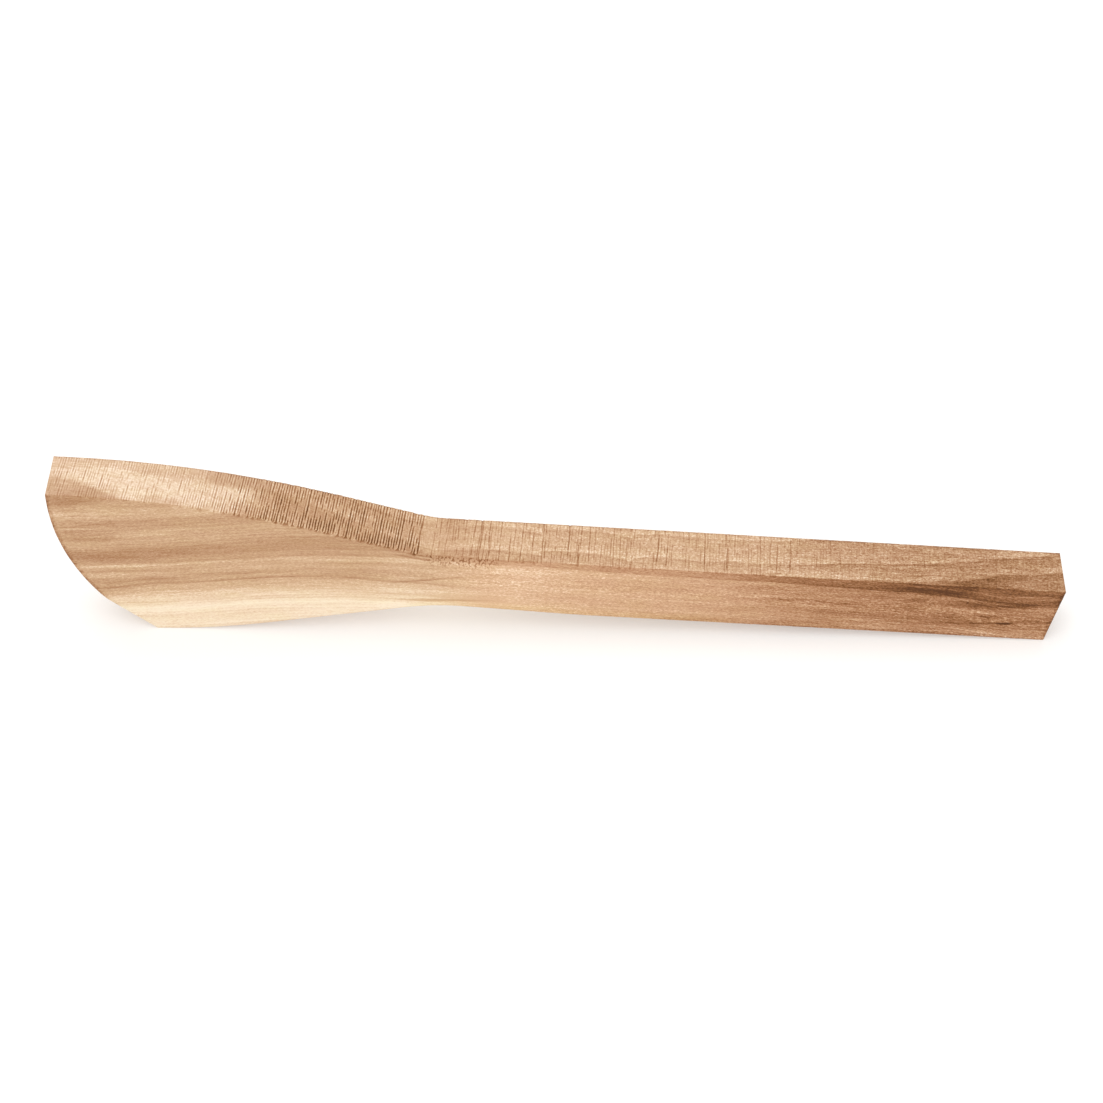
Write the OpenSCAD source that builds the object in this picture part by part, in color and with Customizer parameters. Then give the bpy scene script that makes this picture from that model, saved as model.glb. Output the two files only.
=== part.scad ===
// Wooden clay modelling tool: one piece of board, with a deep paddle-shaped blade,
// a neck and a long straight handle. It stands on one narrow edge: the heel of the
// blade and the lower corner of the handle's end touch the surface, and the edge
// between them is hollow.
// X runs along the tool from blade to handle, Y through the board, Z is up.
// The origin is under the middle of the tool, on the surface that it stands on.

/* [Whole tool] */
// Overall length, from the blade's rounded end to the top of the handle's end
tool_length = 250; // [240:1:270]
// Thickness of the board that the tool is cut from
board_thickness = 15; // [8:0.5:22]

/* [Blade] */
// Height of the blade's tip above the surface that the tool stands on
blade_height = 42.7; // [41:0.1:45]
// Length of the blade's back, from the tip to the neck
blade_length = 93.5; // [90:0.5:98]
// Slope of the blade's back at the tip, in degrees
tip_slope = 1.9; // [1:0.1:3]
// Slope of the blade's back where it meets the neck, in degrees
back_slope = 16.2; // [15:0.1:17]
// Radius of the long curve between those two slopes
back_radius = 285; // [150:5:300]
// Radius of the blade's rounded end
end_radius = 50; // [48:0.5:52]
// Height of the square corner left above the rounded end
tip_land = 0.7; // [0.5:0.1:2]
// Angle that the rounded end turns through before the slanted cut, in degrees
end_sweep = 40.5; // [35:0.5:42]
// Distance of the heel in from the rounded end
heel_inset = 24.1; // [22:0.1:26]
// Length of lower edge behind the heel that lies on the surface before it curves up
heel_land = 13.9; // [13.5:0.1:16]
// Slope of the blade's lower edge up towards the neck, in degrees
belly_slope = 9.3; // [8:0.1:10]
// Radius of the curve between the heel's land and that slope
belly_radius = 165; // [80:5:180]

/* [Handle] */
// Height of the neck's upper corner above the surface
neck_height = 24.8; // [23.5:0.1:26]
// Radius that the saw left in the neck's upper corner
neck_radius = 8; // [1:0.5:12]
// Fall of the handle's upper edge towards its end, in degrees
handle_slope = 3.25; // [2.8:0.05:3.6]
// Angle of the end cut off the vertical, in degrees
end_cut = 14.5; // [0:0.5:20]
// Slope of the handle's lower edge, in degrees
under_slope = 3.05; // [2.6:0.05:3.3]
// Slope of the lower edge where it steepens in front of the neck, in degrees
throat_slope = 4.7; // [4:0.1:5.5]
// Distance from the neck to the point where the lower edge steepens
throat_reach = 36.5; // [32:0.5:50]
// Radius of that gentle change of slope
throat_radius = 400; // [100:50:500]
// Radius of the hollow under the neck
arch_radius = 60; // [20:5:75]

/* [Hidden] */

// Longest straight step along a rounded stretch
curve_step = 2.5;

left = -tool_length / 2;
right = tool_length / 2;
neck = [left + blade_length, neck_height];
tip = [left, blade_height];
end_centre = [left + end_radius, blade_height - tip_land];
heel = [left + heel_inset, 0];
belly_knee = heel + [heel_land, 0];
end_top = [right, neck_height - (right - neck.x) * tan(handle_slope)];
end_bottom = [right - end_top.y * tan(end_cut), 0];
throat_x = neck.x + throat_reach;
throat_knee = [throat_x, (end_bottom.x - throat_x) * tan(under_slope)];

// Direction at an angle above the X axis
function heading(angle) = [cos(angle), sin(angle)];

// Where the line through p along angle a crosses the line through q along angle b
function crossing(p, a, q, b) = p + heading(a) * cross(q - p, heading(b)) / cross(heading(a), heading(b));

function unit(v) = v / norm(v);

// Points of an arc about a centre, from one angle over a sweep, both ends included
function arc_points(centre, radius, start, sweep) =
    let (steps = ceil(abs(sweep) * PI / 180 * radius / curve_step))
    [for (i = [0 : steps]) centre + radius * heading(start + sweep * i / steps)];

// The corner at b, between a and c, as an arc of the given radius, or of the largest
// radius that the shorter of its two sides leaves room for
function rounded_corner(a, b, c, radius) =
    let (
        to_a = unit(a - b),
        to_c = unit(c - b),
        half_angle = acos(to_a * to_c) / 2,
        reach = min(radius / tan(half_angle), norm(a - b), norm(c - b)),
        centre = b + unit(to_a + to_c) * reach / cos(half_angle),
        first = b + to_a * reach - centre,
        turn = sign(cross(to_c, to_a)) * (180 - 2 * half_angle)
    )
    arc_points(centre, norm(first), atan2(first.y, first.x), turn);

back_knee = crossing(tip, -tip_slope, neck, -back_slope);
arch_top = crossing(belly_knee, belly_slope, throat_knee, -throat_slope);

// Outline of the tool's side in X and Z, anticlockwise from the heel
outline = concat(
    [heel],
    rounded_corner(heel, belly_knee, arch_top, belly_radius),
    rounded_corner(belly_knee, arch_top, throat_knee, arch_radius),
    rounded_corner(arch_top, throat_knee, end_bottom, throat_radius),
    [end_bottom, end_top],
    rounded_corner(end_top, neck, back_knee, neck_radius),
    rounded_corner(neck, back_knee, tip, back_radius),
    [tip],
    arc_points(end_centre, end_radius, 180, end_sweep)
);

// The whole tool, sawn in outline from one board
module tool_body() {
    color([0.80, 0.60, 0.42])
        rotate([90, 0, 0])
            linear_extrude(board_thickness, center = true)
                polygon(outline);
}

tool_body();
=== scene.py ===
import math

import bpy
import numpy as np
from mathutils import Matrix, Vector
from mathutils.geometry import delaunay_2d_cdt


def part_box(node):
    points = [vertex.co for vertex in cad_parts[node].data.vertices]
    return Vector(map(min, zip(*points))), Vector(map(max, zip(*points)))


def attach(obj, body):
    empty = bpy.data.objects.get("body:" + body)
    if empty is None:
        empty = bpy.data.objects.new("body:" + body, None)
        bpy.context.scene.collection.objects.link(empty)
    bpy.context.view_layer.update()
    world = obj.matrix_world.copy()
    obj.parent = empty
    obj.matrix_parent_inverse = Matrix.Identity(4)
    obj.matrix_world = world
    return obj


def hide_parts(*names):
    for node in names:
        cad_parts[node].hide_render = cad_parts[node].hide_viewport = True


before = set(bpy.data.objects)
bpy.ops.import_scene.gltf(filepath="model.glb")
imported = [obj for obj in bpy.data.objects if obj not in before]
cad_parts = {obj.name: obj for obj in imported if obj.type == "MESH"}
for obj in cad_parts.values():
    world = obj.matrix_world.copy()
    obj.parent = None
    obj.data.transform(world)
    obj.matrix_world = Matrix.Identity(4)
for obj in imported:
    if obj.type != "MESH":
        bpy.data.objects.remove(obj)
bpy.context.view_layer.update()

# The script works in millimetres and writes metres. X runs from the blade to the handle,
# Y through the board with the front at -Y, and Z is up from the surface that it rests on.
MM = 0.001
NODE = "tool_body"
low, high = (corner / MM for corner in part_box(NODE))
LEFT, RIGHT = low.x, high.x
HALF = (high.y - low.y) / 2

# ------------------------------------------------------------------ camera

# Where the camera stands: degrees around the tool and above the floor, and mm from its aim.
VIEW_AZIMUTH = 1.2
VIEW_ELEVATION = 40.0
VIEW_DISTANCE = 789.4
LENS = 103.8
AIM_OFFSET = Vector((-2.2, 0, -0.9))


def add_camera():
    aim = (low + high) / 2 + AIM_OFFSET
    turn, rise = math.radians(VIEW_AZIMUTH), math.radians(VIEW_ELEVATION)
    away = Vector((
        math.sin(turn) * math.cos(rise),
        -math.cos(turn) * math.cos(rise),
        math.sin(rise),
    ))
    data = bpy.data.cameras.new("camera")
    data.lens = LENS
    data.clip_end = 50
    camera = bpy.data.objects.new("camera", data)
    camera.location = (aim + away * VIEW_DISTANCE) * MM
    camera.rotation_euler = away.to_track_quat("Z", "Y").to_euler()
    bpy.context.scene.collection.objects.link(camera)
    bpy.context.scene.camera = camera


# ------------------------------------------------------------------ helpers

rng = np.random.default_rng(7)


def smoothstep(value, start, end):
    t = np.clip((value - start) / (end - start), 0, 1)
    return t * t * (3 - 2 * t)


def bump(value, middle, width):
    """A bell curve: 1 at the middle, falling off over the width."""
    return np.exp(-(((value - middle) / width) ** 2))


def wander(at, period, random):
    """A smooth random line between -1 and 1, with one new value each period."""
    cells = (at - at.min()) / period
    values = random.uniform(-1, 1, int(cells.max()) + 3)
    cell = cells.astype(int)
    part = smoothstep(cells - cell, 0, 1)
    return values[cell] * (1 - part) + values[cell + 1] * part


def soft_curve(x, knots, blur=5.0):
    """The line through the knots, with its corners rounded over the blur, read at x."""
    fine = np.arange(LEFT - 4 * blur, RIGHT + 4 * blur, 0.5)
    straight = np.interp(fine, *np.array(knots, float).T)
    reach = np.arange(-3 * blur, 3 * blur + 0.1, 0.5)
    weights = np.exp(-0.5 * (reach / blur) ** 2)
    padded = np.pad(straight, len(reach) // 2, mode="edge")
    rounded = np.convolve(padded, weights / weights.sum(), "valid")
    return np.interp(x, fine, rounded)


# ------------------------------------------------------------------ outline

CORNER_ANGLE = 20
BACK_STEP = 0.15
SIDE_STEP = 0.22
FACET_BLUR = 1.2


def cad_outline():
    """The CAD outline's corners in X and Z, clockwise from the tip, and which are sharp."""
    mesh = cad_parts[NODE].data
    points = [v.co / MM for v in mesh.vertices]
    following = {}
    for face in mesh.polygons:
        ring = list(face.vertices)
        edge = [(a, b) for a, b in zip(ring, ring[1:] + ring[:1])
                if points[a].y < 0.9 * low.y and points[b].y < 0.9 * low.y]
        if len(edge) == 1:
            a, b = (points[i] for i in edge[0])
            following[(round(a.x, 3), round(a.z, 3))] = (round(b.x, 3), round(b.z, 3))
    chain = [min(following)]
    while following[chain[-1]] != chain[0]:
        chain.append(following[chain[-1]])
    chain = np.array(chain)
    side = np.roll(chain, -1, axis=0) - chain
    before = np.roll(side, 1, axis=0)
    cross = before[:, 0] * side[:, 1] - before[:, 1] * side[:, 0]
    turning = np.degrees(np.arctan2(cross, (before * side).sum(1)))
    sharp = np.abs(turning) > CORNER_ANGLE
    first = np.flatnonzero(sharp)[0]
    return np.roll(chain, -first, axis=0), np.roll(sharp, -first)


def smooth_stretch(points, step):
    """The stretch in even steps, with the flats between its points rounded off."""
    along = np.concatenate([[0], np.cumsum(np.hypot(*np.diff(points, axis=0).T))])
    at = np.linspace(0, along[-1], int(round(along[-1] / step)) + 1)
    line = np.stack([np.interp(at, along, points[:, k]) for k in (0, 1)], 1)
    reach = int(3 * FACET_BLUR / step)
    weights = np.exp(-0.5 * (np.arange(-reach, reach + 1) * step / FACET_BLUR) ** 2)
    weights /= weights.sum()
    before = 2 * line[0] - line[reach:0:-1]
    after = 2 * line[-1] - line[-2:-reach - 2:-1]
    padded = np.concatenate([before, line, after])
    return np.stack([np.convolve(padded[:, k], weights, "valid") for k in (0, 1)], 1)


# The four sawn stretches of the outline, clockwise: the back from the tip over the neck to
# the handle's end, the end cut, the underside, and the heel cut with the rounded end.
BACK, END, UNDER, NOSE = range(4)
chain, sharp = cad_outline()
breaks = list(np.flatnonzero(sharp)) + [len(chain)]
closed = np.concatenate([chain, chain[:1]])
columns, stretch, along = [], [], []
for kind in (BACK, END, UNDER, NOSE):
    part = smooth_stretch(
        closed[breaks[kind]:breaks[kind + 1] + 1], BACK_STEP if kind == BACK else SIDE_STEP
    )
    steps = np.hypot(*np.diff(part, axis=0).T)
    columns.append(part[:-1])
    stretch.append(np.full(len(part) - 1, kind))
    along.append(np.concatenate([[0], np.cumsum(steps)])[:-1])
lengths = [a[-1] for a in along]
columns, stretch, along = (np.concatenate(a) for a in (columns, stretch, along))
# The corners between the stretches are rounded a little.
for _ in range(2):
    columns = (np.roll(columns, 1, 0) + 2 * columns + np.roll(columns, -1, 0)) / 4
tangent = np.roll(columns, -1, 0) - np.roll(columns, 1, 0)
tangent /= np.hypot(*tangent.T)[:, None]
outward = np.stack([-tangent[:, 1], tangent[:, 0]], 1)
corner_gap = np.minimum(along, np.array(lengths)[stretch] - along)
column_x = columns[:, 0]
back_line = columns[stretch == BACK]
under_line = columns[stretch == UNDER][::-1]
slope = np.degrees(np.arctan2(tangent[stretch == BACK, 1], tangent[stretch == BACK, 0]))
NECK_X = back_line[np.argmax(np.diff(slope)), 0]

# ------------------------------------------------------------------ saw marks

# Rows of points across the board between its arrises, and how far the outer ones keep off
# the faces.
ROWS_ACROSS = 17
FACE_ROOM = 0.75

# Each arris is broken by a few tenths of a millimetre, more where the saw tore the grain and
# less beside a corner of the outline.
column_number = np.arange(len(columns))
arris = 0.13 + 0.05 * wander(column_number * 0.2, 1.1, rng)
torn_back = (stretch == BACK) * smoothstep(column_x, -44, -34) * smoothstep(-column_x, 4, 20)
arris += torn_back * np.clip(wander(column_number * 0.15, 0.7, rng), 0, 1) * 0.22
arris *= smoothstep(corner_gap, 0, 1.0) * 0.7 + 0.3


def row_heights():
    """Y of every point of the band: rows across the board, columns along the outline."""
    middle = np.linspace(-HALF + FACE_ROOM, HALF - FACE_ROOM, ROWS_ACROSS)
    edge = [0 * arris, 0.3 * arris, arris]
    front = [-HALF + e for e in edge]
    back = [HALF - e for e in reversed(edge)]
    return np.array(front + [np.full(len(arris), y) for y in middle] + back)


def row_insets():
    """How far every point lies inside the sawn outline, because the arrises are broken."""
    edge = [arris, 0.3 * arris, 0 * arris]
    return np.array(edge + [0 * arris] * ROWS_ACROSS + edge[::-1])


row_y = row_heights()
inset = row_insets()
mark_dust_and_painted_light = np.zeros_like(row_y)
depth = np.zeros_like(row_y)


def cut_mark(kind, at, width, deep, dark, lean, across=(-9, 9), dash=4.0, gaps=0.3, rim_highlight=0.1):
    """One mark of the saw across the board: a furrow that leans along the outline, wavers and
    breaks into dashes. Its colour is darker inside, from dust and burnt fibres and partly as
    painted shade, with a painted highlight on both sides."""
    level = row_y[:, 0]
    waver = 0.06 * wander(level, 2.2, rng)[:, None]
    broken = wander(level, dash, rng)[:, None]
    spot = at + lean * row_y + waver
    gap = (along[None] - spot) / width
    cols = np.flatnonzero(((stretch == kind)[None] & (np.abs(gap) < 4)).any(0))
    y, gap = row_y[:, cols], gap[:, cols]
    strength = smoothstep(broken, 2 * gaps - 1.35, 2 * gaps - 0.85)
    strength = strength * smoothstep(y, across[0] - 0.6, across[0] + 0.6)
    strength = strength * smoothstep(-y, -across[1] - 0.6, -across[1] + 0.6)
    strength = strength * smoothstep(corner_gap[cols], 0.2, 0.8)[None]
    depth[:, cols] += deep * bump(gap, 0, 1) * strength
    # Darker inside each mark from dust and burnt fibres, partly as painted shade; the pale bands on
    # both sides are a painted highlight.
    rim_highlights = bump(gap, -2.1, 0.9) + bump(gap, 2.1, 0.9)
    mark_dust_and_painted_light[:, cols] += dark * (bump(gap, 0, 1) - rim_highlight * rim_highlights) * strength


def back_at(x):
    """Distance along the back of the tool, from the tip to the place at that X."""
    return np.interp(x, back_line[:, 0], along[stretch == BACK])


# Blade: close, regular marks of the band saw, faint at the tip and deep at the neck. Each mark
# is two overlapping stretches, one from either face, and the one from the front is darker.
mark_x = LEFT + 1.0
while mark_x < NECK_X - 2.6:
    near = smoothstep(mark_x, -95, -64)
    front_end = rng.uniform(-4, 4)
    back_start = rng.uniform(-4, 4)
    for across, darker in (((-9, front_end), 0.14), ((back_start, 9), -0.14)):
        cut_mark(
            BACK,
            back_at(mark_x) + rng.uniform(-0.04, 0.04),
            width=rng.uniform(0.12, 0.17),
            deep=0.02 + 0.06 * near * rng.uniform(0.5, 1),
            dark=(0.34 + (0.86 + darker) * near) * rng.uniform(0.6, 1.25),
            lean=0.07 + rng.uniform(-0.012, 0.012),
            across=across,
            rim_highlight=0.34,
            dash=rng.uniform(1.4, 2.8),
            gaps=0.4 - 0.12 * near,
        )
    mark_x += (0.62 + 0.02 * near) * rng.uniform(0.93, 1.07)

# Handle: fine shallow marks that die out towards the end.
mark_x = NECK_X + 0.5
while mark_x < RIGHT - 1:
    fading = 1 - 0.3 * smoothstep(mark_x, -10, 30) - 0.4 * smoothstep(mark_x, 60, 85)
    cut_mark(
        BACK,
        back_at(mark_x),
        width=rng.uniform(0.09, 0.14),
        deep=0.035 * fading * rng.uniform(0.4, 1),
        dark=0.8 * fading * rng.uniform(0.2, 1),
        lean=rng.uniform(0.02, 0.08),
        dash=rng.uniform(1.5, 4),
        gaps=0.45,
    )
    mark_x += rng.uniform(0.55, 1.0)

# Single deeper scores where the board was held back on the saw: X, from Y, to Y, strength.
SCORES = [
    (-34.7, -6.9, 4.3, 0.9), (-28.5, 2, 7, 0.5), (-19.8, -9, 9, 0.6), (-17.5, -7, 2, 0.6),
    (-9.5, -7, 6, 0.4), (-6.7, -2, 6, 0.5), (2.0, -5, 9, 0.7), (4.5, -9, 0.5, 0.8), (12.5, -4, 3, 0.5),
    (16.5, -7, 4, 0.4), (24.2, -5, 5, 1.0), (26.5, -6, 1, 0.6), (35.8, -5, 2, 0.6),
    (41.4, -6, 2, 0.8), (52, -4, 5, 0.5), (53.8, -6, 4, 0.5), (57.2, -6, 3, 0.6),
    (69.5, -4, 3, 0.4), (90.5, -2, 2, 0.4),
]
for score_x, start, end, strong in SCORES:
    cut_mark(
        BACK, back_at(score_x), width=0.13, deep=0.13 * strong, dark=0.95 * strong,
        lean=rng.uniform(0.02, 0.08), across=(start, end), dash=6, gaps=0.1,
    )

# The other cuts carry the same saw's marks.
for kind, deep in ((UNDER, 0.07), (NOSE, 0.06), (END, 0.05)):
    at = 0.8
    while at < lengths[kind] - 0.8:
        cut_mark(
            kind, at, width=rng.uniform(0.25, 0.35), deep=deep * rng.uniform(0.3, 1),
            dark=0.4 * rng.uniform(0.3, 1), lean=rng.uniform(-0.06, -0.01),
            across=(1.2 - HALF, HALF - 1.2), dash=rng.uniform(3, 7), gaps=0.35,
        )
        at += rng.uniform(0.8, 1.4)

# Towards the neck the blade's marks are at their darkest beside the near arris.
beside_arris = smoothstep(-row_y, 3.0, 5.5) * (stretch == BACK) * (column_x < NECK_X)
mark_dust_and_painted_light *= 1 + 0.35 * beside_arris * smoothstep(column_x, -100, -75)

# The saw leaves the board at the far arris and tears each mark deeper there; its darkening there,
# partly painted shade, and its painted highlight are stronger too.
ARRIS_ROWS = 3
depth[-ARRIS_ROWS:] *= 2.8
mark_dust_and_painted_light[-ARRIS_ROWS:] *= 1.5
mark_dust_and_painted_light = np.clip(mark_dust_and_painted_light, -0.32, 1.25)

# ------------------------------------------------------------------ grain

# Height of one sharp growth line on the front face, along the tool, and how fast the rings
# climb through the board behind it.
GROWTH_LINE = [
    (-125, 20.0), (-100, 20.9), (-75, 23.6), (-60, 24.5), (-42, 24.3),
    (-20, 22.4), (0, 21.1), (60, 17.2), (95, 14.3), (112, 11.3), (125, 10.8),
]
RING_CLIMB = [
    (-125, 0.29), (-100, 0.29), (-85, 0.5), (-75, 0.88), (-60, 0.92),
    (-40, 0.88), (-28, 0.5), (60, 0.5), (80, 0.42), (125, 0.37),
]
# The sawn back is not quite flat, which shifts the growth lines on it to and fro.
BACK_WAVE = [
    (-34, -0.4), (-20, 0.3), (-13, 0.2), (-4.4, -0.6), (-4.2, 0.3), (4, 0.25), (10, 0.1),
    (17.9, -1.1), (18.1, -0.4), (25, -0.1), (35, -0.45), (50, -0.12), (60, 0.05), (77, 0.05),
    (83, -0.15), (95, 0.05), (105, -0.38), (112, -0.45), (118, -0.35), (125, 0.15),
]


def ring_at(x, y, z, sawn):
    """Growth-ring coordinate in mm: 0 on the growth line, falling towards the bark."""
    climb = np.where(sawn > 0, soft_curve(x, RING_CLIMB), soft_curve(x, RING_CLIMB, blur=20))
    ring = z - soft_curve(x, GROWTH_LINE) - climb * (y + HALF)
    bend = (1.3 * smoothstep(x, -60, -42) + 1.1 * smoothstep(-x, 100, 113)) * bump(ring, -7.6, 3)
    bend = bend + 0.5 * smoothstep(-x, 103, 117) * bump(ring, 9, 4)
    ring = ring + (1 - sawn) * bend
    wave = np.interp(x, *np.array(BACK_WAVE).T) * (z > HALF)
    return ring + sawn * wave


def back_figure(x, y):
    """Tone of the blade's sawn back before the neck, where the cut runs across the rings."""
    triangle_edge = np.interp(x, [-125, -118, -107, -100], [0, -1.9, -7.4, -11])
    triangle = smoothstep(triangle_edge - y, -0.3, 0.3)
    far_edge = np.interp(x, [-125, -110, -103, -97, -88, -75], [6.5, 5.4, 3.6, 3.2, 2.5, 2.3])
    near_edge = np.interp(
        x,
        [-108, -103, -99, -95, -91, -89, -85, -80, -75],
        [-9, -7, -4.6, -5.3, -6.5, -7.2, -5, -3.6, -2.8],
    )
    pale = smoothstep(far_edge - y, -0.5, 1.4) * smoothstep(x, -142, -110)
    pale = pale * (1 - 0.6 * smoothstep(near_edge - y, -0.6, 0.8))
    pale = pale * (1 - 0.45 * smoothstep(x, -91, -80))
    brown = smoothstep(x, -88, -84) * smoothstep(y, 2, 3)
    return 0.125 - 0.075 * pale + 0.12 * brown + (0.06 + 0.08 * pale) * triangle


def tone_at(x, y, ring, sawn):
    """Colour of the wood apart from its rings: 0 pale, 1 dark."""
    heart = np.interp(
        x, [-5, 25, 40, 55, 70, 80, 90, 100, 112, 125],
        [-0.02, 0.045, 0.07, 0.16, 0.24, 0.29, 0.33, 0.36, 0.32, 0.30],
    )
    outer = 0.10 * smoothstep(-ring, 7.5, 9.5) * smoothstep(x, 62, 80)
    front = heart - outer
    neck = smoothstep(x, -52, -38) * (1 - smoothstep(x, -14, 0))
    front = front * smoothstep(x, -20, -5) - 0.05 * neck
    heart_top = np.interp(x, [-5, 25, 50, 80, 100, 125], [0, 0.0, 0.02, 0.14, 0.205, 0.2])
    smooth_patch = bump(x, -31.5, 2.5)
    lens = bump(x, -19, 9) * bump(y, -2.3, 1.6)
    top = 0.03 + heart_top + 0.03 * smoothstep(-x, 34, 38) - 0.06 * smooth_patch - 0.05 * lens
    return front * (1 - sawn) + top * sawn


# ------------------------------------------------------------------ mesh

position = np.zeros(row_y.shape + (3,))
position[..., 0] = columns[:, 0] - outward[:, 0] * (depth + inset)
position[..., 1] = row_y
position[..., 2] = columns[:, 1] - outward[:, 1] * (depth + inset)
rows, count = row_y.shape

# Size of the triangles on the two planed faces, and how far their corners keep off the edge.
FACE_CELL = (1.4, 0.6)
FACE_MARGIN = 0.63


def inside_points(loop):
    """Points over one planed face, in rows along the grain, clear of the face's edge."""
    lines = []
    xs = np.arange(LEFT + 1, RIGHT, FACE_CELL[0])
    for i, z in enumerate(np.arange(0.3, high.z, FACE_CELL[1])):
        lines.append(np.stack([xs + (i % 2) * FACE_CELL[0] / 2, np.full(len(xs), z)], 1))
    points = np.concatenate(lines)
    edge = loop - np.roll(loop, 1, axis=0)
    ahead = np.roll(loop, 1, axis=0)
    keep = []
    for point in points:
        apart = np.abs(point - loop)
        if np.min(apart[:, 0] + apart[:, 1]) < FACE_MARGIN:
            continue
        straddles = (loop[:, 1] > point[1]) != (ahead[:, 1] > point[1])
        cut = loop[straddles, 0] - edge[straddles, 0] * (
            (loop[straddles, 1] - point[1]) / edge[straddles, 1]
        )
        if (cut > point[0]).sum() % 2:
            keep.append(point)
    return np.array(keep)


def fill_face(loop):
    """Triangles over the closed loop. Returns the added points and the triangles."""
    extra = inside_points(loop)
    points = np.concatenate([loop, extra])
    ring = [(i, (i + 1) % len(loop)) for i in range(len(loop))]
    out = delaunay_2d_cdt([Vector(p) for p in points], ring, [], 1, 1e-6)
    source = [origins[0] for origins in out[3]]
    triangles = [[source[i] for i in face] for face in out[2]]
    return extra, triangles


band = position.reshape(-1, 3)
faces = []
for j in range(rows - 1):
    for i in range(count):
        k = (i + 1) % count
        faces.append((j * count + i, j * count + k, (j + 1) * count + k, (j + 1) * count + i))
verts = [band]
total = len(band)
for row, flip in ((0, False), (rows - 1, True)):
    loop = position[row][:, (0, 2)]
    extra, triangles = fill_face(loop)
    names = list(range(row * count, row * count + count)) + list(range(total, total + len(extra)))
    added = np.stack([extra[:, 0], np.full(len(extra), band[row * count, 1]), extra[:, 1]], 1)
    verts.append(added)
    total += len(extra)
    for a, b, c in triangles:
        faces.append((names[a], names[c], names[b]) if flip else (names[a], names[b], names[c]))
verts = np.concatenate(verts)

mesh = bpy.data.meshes.new("clay_tool")
mesh.from_pydata((verts * MM).tolist(), [], faces)
mesh.update()
body = bpy.data.objects.new("clay_tool", mesh)
bpy.context.scene.collection.objects.link(body)
mesh.shade_smooth()
mesh.set_sharp_from_angle(angle=math.radians(35))


def keep_values(name, values):
    layer = mesh.attributes.new(name, "FLOAT", "POINT")
    layer.data.foreach_set("value", values.astype(np.float32))


def band_values(values):
    """Values of the sawn band's points, followed by 0 for the points inside the planed faces."""
    return np.concatenate([values.ravel(), np.zeros(len(verts) - rows * count)])


# Height of the sawn back and of the underside over every point.
surface = np.interp(verts[:, 0], *back_line.T)
underside = np.interp(verts[:, 0], *under_line.T)


def keep_surface_values():
    """Store on the mesh what the wood material needs to know about each point."""
    x, y, z = verts.T
    row_number = np.arange(rows)[:, None] + np.zeros(count)
    sawn = band_values((row_number > 0) & (row_number < rows - 1))
    edge_rows = band_values((row_number < ARRIS_ROWS) | (row_number >= rows - ARRIS_ROWS))
    cut_ends = band_values(np.tile(np.isin(stretch, (END, NOSE)), (rows, 1)))
    on_back = sawn * (z > surface - 1.5)
    ring = ring_at(x, y, z, on_back)

    # How much darker the broken arrises are than the surfaces beside them.
    near_arris = edge_rows * (y < 0) * (z > surface - 1)
    low_arris = edge_rows * (y < 0) * (z < underside + 1)
    arris_tones = (
        edge_rows * cut_ends * smoothstep(ring, -12, -8),
        0.4 * edge_rows * on_back * (y > 0),
        0.6 * low_arris * smoothstep(x, 10, 70),
        0.35 * near_arris * smoothstep(x, -40, -34) * smoothstep(-x, -8, 12),
    )

    # Strength of the grain's figure and of its specks along the tool, weaker in the sapwood.
    sap = (1 - smoothstep(ring, -12, -8)) * (1 - smoothstep(x, -20, 0))
    stations = [-125, -50, -30, 0, 40, 60, 85, 125]
    figure = np.interp(x, stations, [1.6, 1.4, 1.3, 1.6, 1.8, 2.9, 3.9, 4.4])
    figure = figure * (1 - 0.65 * sap) * (1 + 0.6 * smoothstep(-x, 104, 116) * bump(ring, 14, 3))
    speck = np.interp(x, stations, [0.62, 0.5, 0.5, 0.7, 0.8, 1.1, 1.25, 1.3])

    # The change from blade to handle colours is wider on the back face.
    behind = (1 - on_back) * smoothstep(y, -HALF + 1, HALF)
    torn = (1 - sawn) * (y < 0) * smoothstep(z - surface, -3.9, -1.9)
    yellow = (1 - on_back) * smoothstep(underside - z, -2.6, -0.6)

    keep_values("ring", ring)
    keep_values("tone", tone_at(x, y, ring, on_back))
    keep_values("plain", on_back * (1 - smoothstep(x - 0.6 * y, -80, -69)))
    keep_values("plain_tone", back_figure(x, y))
    keep_values("handle", smoothstep(x, -36 - 16 * behind, -14 + 26 * behind))
    keep_values("mark_dust_and_painted_light", band_values(mark_dust_and_painted_light))
    keep_values("sawn", sawn)
    keep_values("figure", figure)
    keep_values("speck", speck * (1 - 0.6 * sap))
    keep_values("end_edge", np.maximum.reduce(arris_tones))
    keep_values("torn", torn * smoothstep(x, -34, -31) * smoothstep(-x, 14, 19))
    keep_values("yellow", yellow * smoothstep(x, -42, -34) * smoothstep(-x, -48, -38))


keep_surface_values()

# ------------------------------------------------------------------ wood

LIGHT_LEVEL = 1.25
# The sawn surfaces are a touch less yellow than the planed ones.
SAWN_TINT = (0.98, 0.985, 1.01)


def linear(level):
    level = level / 255
    return level / 12.92 if level <= 0.04045 else ((level + 0.055) / 1.055) ** 2.4


# Wood from palest sapwood to darkest heartwood, in screen levels under this scene's light.
PALETTE = [
    (0.00, (260, 242, 216)),
    (0.05, (253, 228, 198)),
    (0.12, (233, 199, 163)),
    (0.24, (213, 173, 136)),
    (0.47, (178, 129, 91)),
    (0.74, (138, 89, 46)),
    (1.00, (92, 52, 15)),
]

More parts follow.
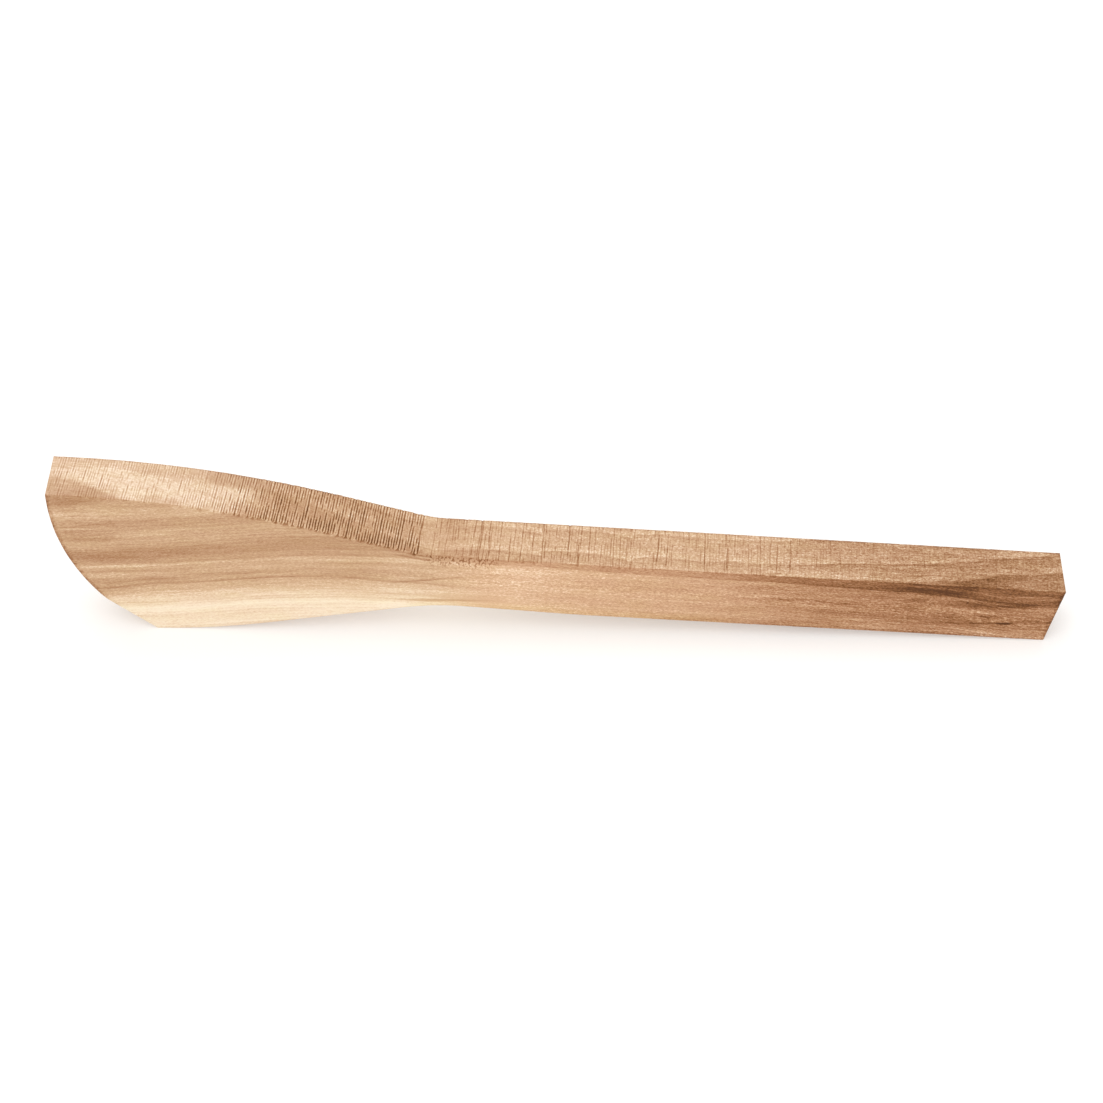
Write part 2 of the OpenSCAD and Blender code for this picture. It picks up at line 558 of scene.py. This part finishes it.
# Darkness of the wood across the rings: ring coordinate in mm, tone.
RING_TONES = [
    (24, 0.28), (20, 0.26), (17.8, 0.23), (16.5, 0.18), (15, 0.19), (14.2, 0.23), (13.8, 0.29),
    (12.3, 0.32), (11.8, 0.28), (10.8, 0.28), (10.4, 0.23), (7.2, 0.26), (6.5, 0.32), (3.5, 0.36),
    (1.0, 0.29), (0.25, 0.29), (-0.1, 0.17), (-1.0, 0.21), (-2.2, 0.27), (-3.2, 0.23), (-4.4, 0.28),
    (-5.9, 0.27), (-6.6, 0.35), (-6.9, 0.21), (-8.4, 0.18), (-10.4, 0.12), (-11.9, 0.08),
    (-13.3, 0.06), (-13.8, 0.0), (-15.8, 0.035), (-18, 0.045),
]
# The same for the handle, added to its even ground tone, on the planed face and the sawn back.
HANDLE_TONES = [
    (8, 0.22), (4, 0.19), (2.8, 0.18), (2.6, 0.13), (1.8, 0.16), (0.15, 0.19), (-0.1, 0.0),
]
HANDLE_BACK_TONES = [
    (8, 0.08), (4, 0.09), (2.85, 0.15), (2.6, -0.1), (1.8, -0.02), (0.5, 0.07), (0.12, 0.13),
    (-0.12, -0.1), (-1.0, -0.04), (-2.0, 0.0), (-3.7, 0.01), (-4.25, 0.12), (-4.55, -0.08),
    (-5.2, -0.06), (-6, 0.03), (-9, 0.05),
]
RING_SPAN = (-24.0, 24.0)
# Added to the tones while they are a ramp's colours, which can't be below 0.
RAMP_LIFT = 0.1


class Graph:
    """Short ways to add and join the nodes of one material."""

    def __init__(self, tree):
        self.tree = tree

    def add(self, kind, inputs=(), **settings):
        node = self.tree.nodes.new(kind)
        for name, value in settings.items():
            setattr(node, name, value)
        for name, value in dict(inputs).items():
            self.feed(node.inputs[name], value)
        return node

    def feed(self, socket, value):
        if isinstance(value, bpy.types.NodeSocket):
            self.tree.links.new(value, socket)
        else:
            socket.default_value = value

    def math(self, operation, *values, clamp=False):
        node = self.add("ShaderNodeMath", operation=operation, use_clamp=clamp)
        for socket, value in zip(node.inputs, values):
            self.feed(socket, value)
        return node.outputs[0]

    def total(self, *values):
        result = values[0]
        for value in values[1:]:
            result = self.math("ADD", result, value)
        return result

    def times(self, a, b):
        return self.math("MULTIPLY", a, b)

    def attribute(self, name):
        return self.add("ShaderNodeAttribute", attribute_name=name).outputs["Fac"]

    def grid(self, coords, sizes):
        """Coordinates for a texture whose cells have those sizes along each coordinate."""
        parts = [self.math("DIVIDE", c, s) for c, s in zip(coords, sizes)]
        return self.add("ShaderNodeCombineXYZ", zip((0, 1, 2), parts)).outputs[0]

    def noise(self, coords, sizes, detail=2.0, rough=0.5):
        """Noise around 0, about -0.5 to 0.5."""
        node = self.add(
            "ShaderNodeTexNoise",
            {"Vector": self.grid(coords, sizes), "Scale": 1.0, "Detail": detail, "Roughness": rough},
        )
        return self.math("SUBTRACT", node.outputs["Fac"], 0.5)

    def step(self, value, start, end, low=0.0, high=1.0):
        node = self.add(
            "ShaderNodeMapRange",
            {"Value": value, "From Min": start, "From Max": end, "To Min": low, "To Max": high},
            interpolation_type="SMOOTHSTEP",
        )
        return node.outputs["Result"]

    def mix(self, a, b, share):
        """a where share is 0, b where it is 1."""
        return self.total(a, self.times(self.math("SUBTRACT", b, a), share))

    def profile(self, ring, tones):
        """The tone that a list gives for the ring coordinate."""
        span = RING_SPAN[1] - RING_SPAN[0]
        share = self.math("DIVIDE", self.math("SUBTRACT", ring, RING_SPAN[0]), span)
        stops = [
            ((place - RING_SPAN[0]) / span, (tone + RAMP_LIFT,) * 3) for place, tone in reversed(tones)
        ]
        return self.math("SUBTRACT", self.ramp(share, stops), RAMP_LIFT)

    def tint(self, colour, share, by):
        """The colour, multiplied by another where share is 1."""
        # This node's sockets are picked by number, because several have the same name.
        node = self.add("ShaderNodeMix", data_type="RGBA", blend_type="MULTIPLY")
        for number, value in ((0, share), (6, colour), (7, (*by, 1))):
            self.feed(node.inputs[number], value)
        return node.outputs[2]

    def ramp(self, value, stops):
        node = self.add("ShaderNodeValToRGB", {"Fac": value})
        elements = node.color_ramp.elements
        while len(elements) < len(stops):
            elements.new(0.5)
        for element, (place, colour) in zip(elements, stops):
            element.position = place
            element.color = (*colour, 1)
        return node.outputs["Color"]


# Single streaks near the front face: X, Z, half length, half width, tilt, tone.
STREAKS = [
    (105, 5.3, 7, 0.22, 0.02, 0.28), (110.6, 5.2, 1.3, 0.25, 0, 0.9), (109, 11.0, 8, 0.6, -0.02, 0.28),
    (117, 15.7, 7, 0.8, 0, -0.1), (110, 17.2, 13, 0.45, 0, 0.20), (97, 7.3, 2.0, 0.35, 0, 0.22),
    (106.5, 7.4, 2, 0.35, 0, 0.18), (88.5, 12.8, 2, 0.4, 0, 0.14), (95, 15.3, 10, 0.85, -0.08, 0.26),
    (88, 12.3, 3, 0.6, 0, 0.1), (102, 12.0, 5, 0.6, 0, 0.1), (114, 11.0, 5, 0.7, 0, 0.12),
    (116, 14.0, 5, 0.35, 0, -0.22), (119, 12.9, 5, 0.3, 0.02, -0.2), (73, 5.9, 12, 0.3, 0, -0.09),
    (80, 13.8, 6, 0.6, -0.03, 0.09), (70, 8.3, 6, 0.25, 0, 0.07), (101, 9.4, 8, 0.5, -0.1, -0.15),
    (110, 2.4, 14, 1.6, 0, -0.1), (105.5, 15.2, 2.8, 1.2, 0, -0.2), (71.5, 11.0, 3.5, 0.3, 0, 0.10),
    (52, 16.0, 7, 0.35, 0, 0.08), (54, 12.2, 8, 0.3, 0, 0.12), (50, 13.2, 5, 0.25, 0.02, -0.08),
    (57, 14.6, 6, 0.25, 0, -0.07), (58, 4.8, 9, 0.4, 0, 0.10), (35, 5.4, 7, 0.4, 0, 0.10),
    (24, 15.0, 18, 0.5, 0, 0.05), (-30, 10.5, 9, 0.3, 0, 0.16), (-35, 11.4, 13, 1.6, 0, 0.05),
    (-34, 9.4, 8, 1.2, 0, 0.04), (-54, 24.2, 11, 0.5, 0, 0.06), (-47, 21.3, 10, 1.8, 0, 0.03),
    (-33, 17.0, 6, 0.22, 0.11, 0.22), (-36, 24.1, 4, 0.28, -0.2, 0.2),
    (-35.5, 25.1, 3.6, 0.25, -0.2, 0.2), (-55, 17.2, 6, 0.3, 0, 0.10), (-42, 12.4, 5, 0.25, 0, 0.05),
    (-120, 40.3, 8, 1.7, 0.12, 0.15), (-116, 39.0, 9, 0.7, 0.18, -0.04),
    (-119, 36.0, 5, 0.3, 0.1, 0.07), (-117, 29.0, 7, 1.3, 0.02, 0.12), (-118, 31.9, 6, 0.4, 0.1, -0.08),
    (-118, 32.9, 6, 0.3, 0.1, 0.08), (-102, 30.0, 7, 0.4, 0.1, -0.035),
    (-116, 26.1, 6, 0.8, 0.03, -0.08), (-99, 16.0, 5, 0.8, 0.04, 0.08), (-112, 13.2, 5, 0.8, 0.1, 0.06),
    (-82, 18.4, 8, 0.3, 0.05, 0.09), (-112, 22.5, 8, 1.2, 0.03, 0.09),
    (-107, 20.0, 10, 0.3, 0.02, -0.04), (-104, 18.6, 9, 0.25, 0.02, 0.05),
    (-94, 24.8, 4, 0.7, 0.05, 0.06),
]
STREAK_DEPTH = 3.0


def streak_tone(g, place, waver, x, z, length, width, tilt, tone):
    """One streak with soft ends, just under the front face, wavering with the grain."""
    ahead = g.total(place[0], -x)
    height = g.total(place[2], waver, -z, g.times(ahead, -tilt))
    parts = (
        g.math("DIVIDE", ahead, length),
        g.math("DIVIDE", height, width),
        g.math("DIVIDE", g.total(place[1], HALF), STREAK_DEPTH),
    )
    far = g.total(*(g.times(part, part) for part in parts))
    return g.times(g.math("POWER", math.exp(-0.7), far), tone)


def wood_material():
    material = bpy.data.materials.new("hardwood")
    material.use_nodes = True
    tree = material.node_tree
    g = Graph(tree)
    shader = tree.nodes["Principled BSDF"]
    place = g.add("ShaderNodeTexCoord").outputs["Object"]
    split = g.add("ShaderNodeSeparateXYZ", {0: place})
    x, y, z = (g.times(split.outputs[k], 1 / MM) for k in range(3))
    ring, base, marks, saw = (g.attribute(n) for n in ("ring", "tone", "mark_dust_and_painted_light", "sawn"))

    # Ring coordinate, with the slow and the quick wandering of real growth rings.
    slow = g.times(g.noise((x, y, z), (38, 14, 9)), 1.6)
    quick = g.times(g.noise((x, y, z), (8, 2.5, 1.6), detail=1), 0.42)
    ring = g.total(ring, slow, quick)
    blade = g.profile(ring, RING_TONES)
    handle = g.mix(g.profile(ring, HANDLE_TONES), g.profile(ring, HANDLE_BACK_TONES), saw)
    contrast = g.total(g.step(x, 20, 95, 0.7, 1.5), g.times(saw, g.step(x, 20, 95, 0.0, -0.45)))
    handle = g.total(g.times(handle, contrast), 0.2)
    on_handle = g.attribute("handle")
    rings = g.mix(blade, handle, on_handle)

    # On the blade's sawn back the rings are fainter, and before the neck it has its own figure.
    faint = g.times(g.times(saw, 0.4), g.math("SUBTRACT", 1.0, on_handle))
    rings = g.mix(rings, 0.27, faint)
    plain = g.attribute("plain")
    rings = g.mix(rings, g.attribute("plain_tone"), plain)

    # Fibres, pores and streaks run along the grain. A sawn surface is woolly instead.
    grain = (x, ring, y)
    planed = g.math("SUBTRACT", 1.0, saw)
    figure = g.times(g.attribute("figure"), g.total(1.0, g.times(saw, -0.3)))
    fibres = g.noise(grain, (4.5, 0.22, 0.3), detail=3, rough=0.62)
    streaks = g.noise(grain, (18, 0.7, 1.0), detail=3, rough=0.6)
    clouds = g.noise(grain, (45, 4.0, 5.0), detail=2)
    stripes = g.noise(grain, (70, 0.55, 1.2), detail=2, rough=0.6)
    striped = g.total(g.step(x, -30, 0, 1.0, 0.3), g.step(x, 70, 105, 0.0, 1.3))
    speck = g.attribute("speck")
    specks = g.times(g.noise(grain, (0.75, 0.24, 0.26), detail=3, rough=0.8), speck)
    pores = g.step(g.noise(grain, (1.8, 0.10, 0.12), detail=1), 0.14, 0.3)
    fuzz = g.noise((x, y, z), (0.35, 1.1, 1.0), detail=3, rough=0.7)
    wool = g.times(g.noise((x, y, z), (0.42, 0.55, 0.5), detail=3, rough=0.75), speck)
    blotch = g.noise((x, y, z), (3.0, 3.0, 3.0), detail=3, rough=0.6)
    dots = g.step(g.noise((x, y, z), (0.5, 0.5, 0.85), detail=1), 0.0, 0.12)

    tone = g.total(
        rings,
        base,
        g.times(g.times(fibres, figure), 0.20),
        g.times(g.times(streaks, figure), 0.16),
        g.times(clouds, 0.12),
        g.times(g.times(stripes, striped), 0.15),
        g.times(g.times(specks, g.total(1.0, g.times(plain, -0.5))), 1.25),
        g.times(g.times(pores, planed), 0.10),
        g.times(g.times(fuzz, saw), g.total(0.45, g.times(plain, -0.22))),
        g.times(g.times(wool, saw), g.total(0.34, g.times(plain, -0.18))),
        g.times(g.times(blotch, saw), g.total(0.14, g.times(plain, -0.1))),
        # saw marks: dust and burnt fibres with painted shade inside, painted highlight beside them
        g.times(marks, 0.45),
        g.times(g.attribute("end_edge"), g.times(g.total(dots, 0.6), 0.24)),
        g.times(g.times(g.attribute("torn"), dots), 0.36),
    )
    for streak in STREAKS:
        tone = g.total(tone, streak_tone(g, (x, y, z), quick, *streak))
    tone = g.math("MAXIMUM", tone, g.times(plain, 0.05))
    colour = g.ramp(
        tone, [(share, tuple(linear(c) / LIGHT_LEVEL for c in seen)) for share, seen in PALETTE]
    )
    pink = g.times(on_handle, planed)
    colour = g.tint(colour, pink, (1.05, 0.995, 0.985))
    colour = g.tint(colour, plain, (1.0, 1.02, 1.07))
    colour = g.tint(colour, g.attribute("yellow"), (0.99, 1.0, 0.90))
    hue = g.step(g.noise((x, y, z), (9, 3, 2.2), detail=2), -0.2, 0.3)
    colour = g.tint(colour, hue, (0.985, 1.0, 0.95))
    colour = g.tint(colour, saw, SAWN_TINT)
    g.feed(shader.inputs["Base Color"], colour)
    rough = g.total(0.62, g.times(saw, 0.2), g.times(fibres, 0.15), g.times(marks, 0.05))
    g.feed(shader.inputs["Roughness"], rough)
    shader.inputs["Specular IOR Level"].default_value = 0.25
    height = g.total(
        g.times(g.times(fibres, planed), 0.5),
        g.times(g.times(pores, planed), -0.35),
        g.times(g.times(fuzz, saw), 1.0),
    )
    relief = g.add("ShaderNodeBump", {"Strength": 0.5, "Distance": 0.0001, "Height": height})
    g.feed(shader.inputs["Normal"], relief.outputs[0])
    return material


# ------------------------------------------------------------------ texture layout

# Every side of the tool lies flat, at one scale, on one square sheet. The tool is split at its
# narrowest place, the neck. The handle's four sides fill one row each. The blade's two faces
# are stacked above them, with its narrow sides and the two end cuts standing beside them.
SHEET = 172.0
SHEET_GAP = 2.6
SPLIT_X = -32.0


def lay_out():
    """The sheet position of every face corner, in the order of the mesh's faces."""
    wide = 2 * HALF
    step = np.hypot(*(np.roll(columns, -1, 0) - columns).T)
    blade_column = column_x < SPLIT_X
    start = np.zeros(count)
    for kind in (BACK, UNDER):
        late = (stretch == kind) & (blade_column == (kind == UNDER))
        start[late] = along[late].min()
    near = along - start

    # The rows, from the bottom: the handle's front, back face, sawn back and underside, and
    # then the blade's front and back face. Beside these two stand three strips.
    handle_tall = np.max((surface - underside)[verts[:, 0] > SPLIT_X])
    row_starts = np.cumsum([0, handle_tall, handle_tall, wide, wide, high.z])
    row_starts += SHEET_GAP * np.arange(1, 7)
    beside = SHEET_GAP + (SPLIT_X - LEFT) + SHEET_GAP * 1.5
    stand = beside + (wide + SHEET_GAP) * np.arange(3)
    nose_length = lengths[NOSE] + SHEET_GAP

    across = row_y + HALF
    places = np.zeros((rows - 1, count, 4, 2))
    for corner, (row, ahead) in enumerate(((0, 0), (0, 1), (1, 1), (1, 0))):
        v = np.roll(across[row:rows - 1 + row], -ahead, axis=1)
        u = np.broadcast_to(near + ahead * step, v.shape)
        flat = ((stretch == BACK) | (stretch == UNDER)) & ~blade_column
        row_start = np.where(stretch == BACK, row_starts[2], row_starts[3])
        strip = np.select([stretch == BACK, stretch == UNDER], stand[:2], stand[2])
        lift = row_starts[4] + nose_length * (stretch == END)
        places[:, :, corner, 0] = np.where(flat, SHEET_GAP + u, strip + v)
        places[:, :, corner, 1] = np.where(flat, row_start + v, lift + u)

    cap_faces = np.array(faces[(rows - 1) * count:])
    x, y, z = (verts[cap_faces][..., k] for k in range(3))
    handle_side = (x.mean(1) > SPLIT_X)[:, None]
    back_side = y > 0
    u = np.where(handle_side, x - SPLIT_X, x - LEFT) + SHEET_GAP
    v = np.where(
        handle_side,
        z - underside[cap_faces] + np.where(back_side, row_starts[1], row_starts[0]),
        z + np.where(back_side, row_starts[5], row_starts[4]),
    )
    caps = np.stack([u, v], -1)
    return np.concatenate([places.reshape(-1, 2), caps.reshape(-1, 2)]) / SHEET


sheet_places = lay_out()
assert sheet_places.min() > 0 and sheet_places.max() < 1
mesh.uv_layers.new(name="OFBake").data.foreach_set("uv", sheet_places.astype(np.float32).ravel())

mesh.materials.append(wood_material())
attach(body, "root")
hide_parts(NODE)

# ------------------------------------------------------------------ studio


def add_floor():
    size = 4.0
    corners = [(-size, -size), (size, -size), (size, size), (-size, size)]
    sheet = bpy.data.meshes.new("floor")
    sheet.from_pydata([(a, b, -0.00005) for a, b in corners], [], [(0, 1, 2, 3)])
    floor = bpy.data.objects.new("floor", sheet)
    bpy.context.scene.collection.objects.link(floor)
    paper = bpy.data.materials.new("paper")
    paper.use_nodes = True
    shader = paper.node_tree.nodes["Principled BSDF"]
    shader.inputs["Base Color"].default_value = (0.62, 0.615, 0.605, 1)
    shader.inputs["Emission Color"].default_value = (1.0, 0.99, 0.975, 1)
    shader.inputs["Emission Strength"].default_value = 0.36
    shader.inputs["Roughness"].default_value = 0.9
    shader.inputs["Specular IOR Level"].default_value = 0.1
    sheet.materials.append(paper)


def add_light(name, place, size, power):
    data = bpy.data.lights.new(name, "AREA")
    data.shape = "DISK"
    data.size = size
    data.energy = power
    light = bpy.data.objects.new(name, data)
    light.location = place
    light.rotation_euler = Vector(place).to_track_quat("Z", "Y").to_euler()
    bpy.context.scene.collection.objects.link(light)


def add_sky(strength):
    world = bpy.data.worlds.new("studio")
    world.use_nodes = True
    world.node_tree.nodes["Background"].inputs["Color"].default_value = (1, 1, 1, 1)
    world.node_tree.nodes["Background"].inputs["Strength"].default_value = strength
    bpy.context.scene.world = world


add_floor()
add_sky(0.66)
add_light("front", (-0.1, -0.9, 1.05), 1.6, 12.0)
add_light("back", (-0.1, 0.5, 1.2), 1.6, 8.0)
bpy.context.scene.view_settings.view_transform = "Standard"
add_camera()
